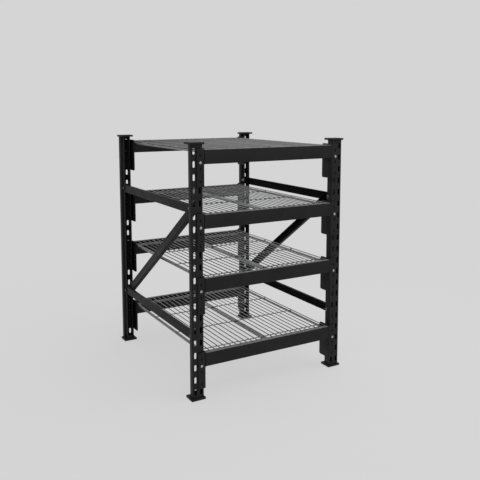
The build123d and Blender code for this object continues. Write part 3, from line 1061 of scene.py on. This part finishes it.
class RACK_OT_braces(bpy.types.Operator):
    """Fold the channels that brace the end frames"""

    bl_idname = "rack.braces"
    bl_label = "Braces"

    def execute(self, context):
        sizes = context.scene.rack_braces
        for side, sign in SIDES.items():
            for kind in ("lower", "upper", "diagonal"):
                node = f"brace_{side}_{kind}"
                low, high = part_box(node)
                middle, size = (low + high) / 2, high - low
                angle = self.slope(size, sizes.height) if kind == "diagonal" else 0.0
                along = Vector((0, math.cos(angle), math.sin(angle)))
                upward = Vector((0, -math.sin(angle), math.cos(angle)))
                run = (size.y - sizes.height * abs(math.sin(angle))) / math.cos(angle)
                web_x = high.x if sign > 0 else low.x
                origin = Vector((web_x, middle.y, middle.z)) - along * run / 2
                cuts = [self.cuts(side, sizes, origin, along, upward, flange) for flange in (-1, 1)]
                brace = self.channel(sizes, run, size.x, cuts if kind == "diagonal" else None)
                brace.transform(axes(upward, -sign * X, along, origin))
                make_piece(f"frame_brace_{side}_{kind}", brace, RACK_BODY, BLACK, node)
            spacers = self.spacers(sizes, side, sign)
            make_piece(f"brace_spacers_{side}", spacers, RACK_BODY, BLACK)
        return {"FINISHED"}

    @classmethod
    def spacers(cls, sizes, side, sign):
        """Short channels on the lower front and the upper rear bolts, where no diagonal fills the mouth."""
        spacers = []
        for kind in ("lower", "upper"):
            low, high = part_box(f"brace_{side}_{kind}")
            start = low.y if kind == "lower" else high.y - sizes.spacer
            web_x = low.x if sign > 0 else high.x
            spacer = cls.channel(sizes, sizes.spacer, high.x - low.x - sizes.spacer_gap, None)
            spacer.transform(axes(Z, -sign * X, Y, (web_x, start, (low.z + high.z) / 2 + sizes.spacer_rise)))
            spacers.append(spacer)
        return merged(spacers)

    @staticmethod
    def slope(size, height):
        """Slope of a channel that falls to the rear, from its box and the height of its web."""
        angle, rounds = 0.0, 20
        for _ in range(rounds):
            angle = math.atan2(size.z - height * math.cos(angle), size.y - height * math.sin(angle))
        return -angle

    @staticmethod
    def cuts(side, sizes, origin, along, upward, flange):
        """Where a flange is cut back beside the uprights, along the brace, and its depth there."""
        across = flange * sizes.height / 2 * upward.y
        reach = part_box(f"post_rear_{side}")[0].y - sizes.clearance
        starts = [(y - origin.y - across) / along.y for y in (-reach, reach)]
        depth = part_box(f"brace_{side}_upper")
        return *starts, depth[1].x - depth[0].x

    @staticmethod
    def channel(sizes, run, depth, cuts):
        """Channel that runs along +Z, its web on the XZ plane and its flanges along +Y."""
        coat = finish_material("Channel Powder Coat With Painted Inner Shade")
        half, fold = sizes.height / 2, sizes.wall + sizes.bend
        web = rectangle(0, run / 2, sizes.height - 2 * fold, run)
        sheets = [plain_section([web], sizes.wall, coat, axes(X, Z, Y))]
        for flange in (-1, 1):
            path = [(half - fold, 0), (half, 0), (half, fold)]
            fold_outline = folded_sheet(path, sizes.wall, sizes.bend)
            bend = plain_section([fold_outline], run, coat, axes(flange * X, Y, Z))
            outline = [(0, fold, 0), (run, fold, 0), (run, depth, 0), (0, depth, 0)]
            if cuts:
                first, last, shallow = cuts[flange > 0]
                corner = sizes.cut_corner
                outline[2:] = [
                    (run, shallow, 0),
                    (last, shallow, corner),
                    (last, depth, corner),
                    (first, depth, corner),
                    (first, shallow, corner),
                    (0, shallow, 0),
                ]
            place = axes(Z, Y, flange * X, (flange * (half - sizes.wall), 0, 0))
            sheets += [bend, plain_section([rounded(outline)], sizes.wall, coat, place)]
        return soften(merged(sheets, weld=True), sizes.softness)


class RACK_OT_fasteners(bpy.types.Operator):
    """Fit the lock bolts, brace bolts and nuts"""

    bl_idname = "rack.fasteners"
    bl_label = "Bolts and Nuts"

    def execute(self, context):
        sizes = context.scene.rack_fasteners
        rise = context.scene.rack_connectors.above
        for end, side in CORNERS:
            node = f"lock_bolts_{end}_{side}"
            low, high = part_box(node)
            x = (low.x + high.x) / 2
            seats = [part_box(f"connector_{end}_{side}_{number}") for number in LEVELS]
            face = seats[0][0].y if end == "front" else seats[0][1].y
            places = [(x, face, seat[1].z - rise + sizes.lock_rise) for seat in seats]
            reach = high.y - low.y - sizes.lock_head
            turn = Matrix.Rotation(QUARTER * ENDS[end], 4, "X")
            mesh = self.fasteners(places, turn, sizes.lock_across, sizes.lock_head, sizes.lock_shank, reach)
            make_piece(f"lock_bolt_set_{end}_{side}", mesh, RACK_BODY, "zinc_fastener", node)
        for side, sign in SIDES.items():
            node = f"brace_bolts_{side}"
            low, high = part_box(node)
            heights = (low.z + sizes.bolt_across / 2, high.z - sizes.bolt_across / 2)
            head_radius = sizes.bolt_across / math.sqrt(3)
            depths = (low.y + head_radius, high.y - head_radius)
            outer = (high.x if sign > 0 else low.x) - sign * sizes.bolt_head
            places = [(outer, y, z) for y in depths for z in heights]
            level = Matrix.Rotation(QUARTER, 4, "Z")
            turn = Matrix.Rotation(QUARTER * sign, 4, "Y") @ level
            reach = high.x - low.x - sizes.bolt_head
            across, shank = sizes.bolt_across, sizes.bolt_shank
            mesh = self.fasteners(places, turn, across, sizes.bolt_head, shank, reach, "Darker Zinc")
            make_piece(f"brace_bolt_set_{side}", mesh, RACK_BODY, "zinc_fastener", node)
            node = f"brace_nuts_{side}"
            low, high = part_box(node)
            inner = high.x if sign > 0 else low.x
            places = [(inner, y, z) for y in depths for z in heights]
            turn = Matrix.Rotation(-QUARTER * sign, 4, "Y") @ level
            mesh = self.fasteners(places, turn, across, sizes.nut, shank, sizes.nut_shank)
            make_piece(f"brace_nut_set_{side}", mesh, RACK_BODY, "zinc_fastener", node)
        return {"FINISHED"}

    @staticmethod
    def fasteners(places, turn, across, height, shank, reach, finish="Zinc Plate"):
        """Like fasteners with their seats at the given places, turned from +Z."""
        seats = bpy.data.meshes.new("seats")
        seats.from_pydata([turn.inverted() @ Vector(place) for place in places], [], [])
        tree = bpy.data.node_groups.get("Hexagon Fastener") or fastener_tree()
        values = {"Across": across, "Height": height, "Shank": shank, "Reach": reach}
        mesh = grown(tree, seats, values | {"Finish": finish_material(finish)})
        mesh.transform(turn)
        return mesh


# Stage


def seen_rays(tree):
    """Switch that is on for camera, glossy and clear rays."""
    path = tree.nodes.new("ShaderNodeLightPath").outputs
    seen = math_node(tree, "MAXIMUM", path["Is Camera Ray"], path["Is Glossy Ray"])
    return math_node(tree, "MAXIMUM", seen, path["Is Transmission Ray"])


def floor_material(settings):
    """Pale floor that keeps the rack's shadow and fades into the backdrop."""
    material = bpy.data.materials.new("Pale Floor")
    material.use_nodes = True
    tree = material.node_tree
    tree.nodes.clear()
    paint = add_node(tree, "ShaderNodeBsdfDiffuse", {"Color": (*settings.floor, 1.0)})[0]
    light = add_node(tree, "ShaderNodeEmission", {"Color": (*settings.backdrop, 1.0), "Strength": 1.0})[0]
    place = tree.nodes.new("ShaderNodeTexCoord").outputs["Object"]
    distance = add_node(tree, "ShaderNodeVectorMath", {0: place}, operation="LENGTH")["Value"]
    near, far = 0.7, 2.0
    fade = ranged(tree, distance, settings.clean_floor, 1.0, near, far)
    factor = math_node(tree, "MULTIPLY", fade, seen_rays(tree))
    surface = add_node(tree, "ShaderNodeMixShader", {0: factor, 1: paint, 2: light})[0]
    add_node(tree, "ShaderNodeOutputMaterial", {"Surface": surface})
    return material


def area_lamp(name, place, target, width, height, power):
    """Large soft lamp that looks at a point."""
    data = bpy.data.lights.new(name, "AREA")
    data.shape = "RECTANGLE"
    data.size, data.size_y = width, height
    data.energy = power
    lamp = bpy.data.objects.new(name, data)
    lamp.location = place
    lamp.rotation_euler = (target - place).to_track_quat("-Z", "Y").to_euler()
    bpy.context.scene.collection.objects.link(lamp)


class RACK_OT_stage(bpy.types.Operator):
    """Set the floor, the light and the camera"""

    bl_idname = "rack.stage"
    bl_label = "Stage"

    def execute(self, context):
        settings = context.scene.rack_stage
        low, high = CAD_BOX
        middle = (low + high) / 2

        floor_mesh = bpy.data.meshes.new("floor")
        half = 30.0
        corners = [(-half, -half, 0), (half, -half, 0), (half, half, 0), (-half, half, 0)]
        floor_mesh.from_pydata(corners, [], [(0, 1, 2, 3)])
        floor_mesh.materials.append(floor_material(settings))
        floor = bpy.data.objects.new("floor", floor_mesh)
        context.scene.collection.objects.link(floor)

        world = bpy.data.worlds.new("Studio")
        context.scene.world = world
        world.use_nodes = True
        tree = world.node_tree
        tree.nodes.clear()
        ambient = add_node(tree, "ShaderNodeBackground", {"Color": (1, 1, 1, 1), "Strength": settings.sky})[0]
        shown = add_node(tree, "ShaderNodeBackground", {"Color": (*settings.backdrop, 1), "Strength": 1.0})[0]
        mix = add_node(tree, "ShaderNodeMixShader", {0: seen_rays(tree), 1: ambient, 2: shown})[0]
        add_node(tree, "ShaderNodeOutputWorld", {"Surface": mix})

        above, lamp_size = Vector((0.9, -0.6, 2.4)), 3.0
        area_lamp("Top light", middle + above, middle, lamp_size, lamp_size, settings.top)

        azimuth, pitch = math.radians(-30.10), math.radians(6.68)
        flat = math.cos(pitch)
        away = Vector((math.sin(azimuth) * flat, -math.cos(azimuth) * flat, math.sin(pitch)))
        data = bpy.data.cameras.new("Camera")
        data.sensor_width = 36.0
        data.lens = 47.54
        data.shift_y = -0.12
        camera = bpy.data.objects.new("Camera", data)
        camera.location = (-1.3891, -2.5444, 1.1437)
        camera.rotation_mode = "QUATERNION"
        camera.rotation_quaternion = (-away).to_track_quat("-Z", "Y")
        context.scene.collection.objects.link(camera)
        context.scene.camera = camera
        context.scene.view_settings.view_transform = "Standard"
        return {"FINISHED"}


class RACK_PT_sidebar(bpy.types.Panel):
    """Sizes, finishes and makers of the rack"""

    bl_idname = "RACK_PT_sidebar"
    bl_label = "Wire Shelving Rack"
    bl_space_type = "VIEW_3D"
    bl_region_type = "UI"
    bl_category = "Rack"

    def draw(self, context):
        for attribute in SETTINGS:
            group = getattr(context.scene, attribute)
            box = self.layout.box()
            for name in group.__annotations__:
                box.prop(group, name)
        for operator in OPERATORS:
            self.layout.operator(operator.bl_idname)


SETTINGS = {
    "rack_uprights": UprightSizes,
    "rack_plates": PlateSizes,
    "rack_connectors": ConnectorSizes,
    "rack_beams": BeamSizes,
    "rack_decks": DeckSizes,
    "rack_braces": BraceSizes,
    "rack_fasteners": FastenerSizes,
    "rack_finish": RackFinish,
    "rack_stage": StageSettings,
}
OPERATORS = (
    RACK_OT_stage,
    RACK_OT_uprights,
    RACK_OT_plates,
    RACK_OT_connectors,
    RACK_OT_beams,
    RACK_OT_welds,
    RACK_OT_decks,
    RACK_OT_braces,
    RACK_OT_fasteners,
)


def register():
    """Register the settings, the operators and the panel."""
    for attribute, group in SETTINGS.items():
        bpy.utils.register_class(group)
        setattr(bpy.types.Scene, attribute, bpy.props.PointerProperty(type=group))
    for item in (*OPERATORS, RACK_PT_sidebar):
        bpy.utils.register_class(item)


def unregister():
    """Remove what register() added."""
    for item in reversed((*OPERATORS, RACK_PT_sidebar)):
        bpy.utils.unregister_class(item)
    for attribute, group in reversed(SETTINGS.items()):
        delattr(bpy.types.Scene, attribute)
        bpy.utils.unregister_class(group)


def main():
    """Make the whole rack."""
    register()
    bpy.ops.rack.stage()
    bpy.ops.rack.uprights()
    bpy.ops.rack.plates()
    bpy.ops.rack.connectors()
    bpy.ops.rack.beams()
    bpy.ops.rack.welds()
    bpy.ops.rack.decks()
    bpy.ops.rack.braces()
    bpy.ops.rack.fasteners()


if __name__ == "__main__":
    main()
